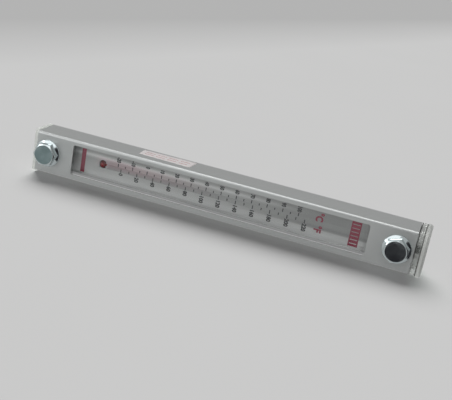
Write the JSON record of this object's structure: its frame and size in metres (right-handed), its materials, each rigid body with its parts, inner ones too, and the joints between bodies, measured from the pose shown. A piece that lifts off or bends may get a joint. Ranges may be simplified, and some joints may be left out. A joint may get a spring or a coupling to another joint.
{
  "type": "fluid level gauge with thermometer",
  "caption": "Slim wall-mounted liquid level gauge: clear sight body and glass thermometer in an aluminium channel, fixed by hollow hex bolts.",
  "frame": {"origin": "centre of the mounting face at the gauge's back, midway between the two bolts", "axes": "+X along the gauge from the thermometer's bulb end to its upper end, +Y from the front face into the tank wall, along the bolts, +Z across the gauge's width, so it stands on one long side"},
  "size_m": [0.2845, 0.048, 0.032],
  "materials": {
    "anodised_housing": "satin natural anodising, faint extrusion lines along the length",
    "clear_body": "clear acrylic, polished outside",
    "clear_caps": "clear acrylic, edges slightly frosted",
    "zinc_plate": "bright zinc plating with a cold blue-grey tint",
    "nitrile_rubber": "matt black nitrile",
    "film": "clear polyester film with printed scale",
    "thermometer_glass": "clear drawn glass",
    "red_spirit": "red dyed spirit",
    "label_paper": "plain matt paper"
  },
  "bodies": {
    "gauge_body": {"housing": "anodised_housing", "sight_body": "clear_body", "scale_film": "film", "thermometer_tube": "thermometer_glass", "thermometer_liquid": "red_spirit", "paper_label": "label_paper", "lower_tube_clip": "clear_body", "upper_tube_clip": "clear_body", "lower_end_cap": "clear_caps", "upper_end_cap": "clear_caps", "lower_channel_plug": "nitrile_rubber", "upper_channel_plug": "nitrile_rubber", "lower_head_seal": "nitrile_rubber", "upper_head_seal": "nitrile_rubber", "lower_tank_seal": "nitrile_rubber", "upper_tank_seal": "nitrile_rubber"},
    "lower_bolt": {"lower_bolt": "zinc_plate"},
    "upper_bolt": {"upper_bolt": "zinc_plate"}
  },
  "joints": [
    {"name": "lower_bolt_turn", "type": "hinge", "parent": "gauge_body", "child": "lower_bolt", "pos_m": [-0.127, 0, 0], "axis": [0, 1, 0], "continuous": true},
    {"name": "upper_bolt_turn", "type": "hinge", "parent": "gauge_body", "child": "upper_bolt", "pos_m": [0.127, 0, 0], "axis": [0, 1, 0], "continuous": true}
  ]
}
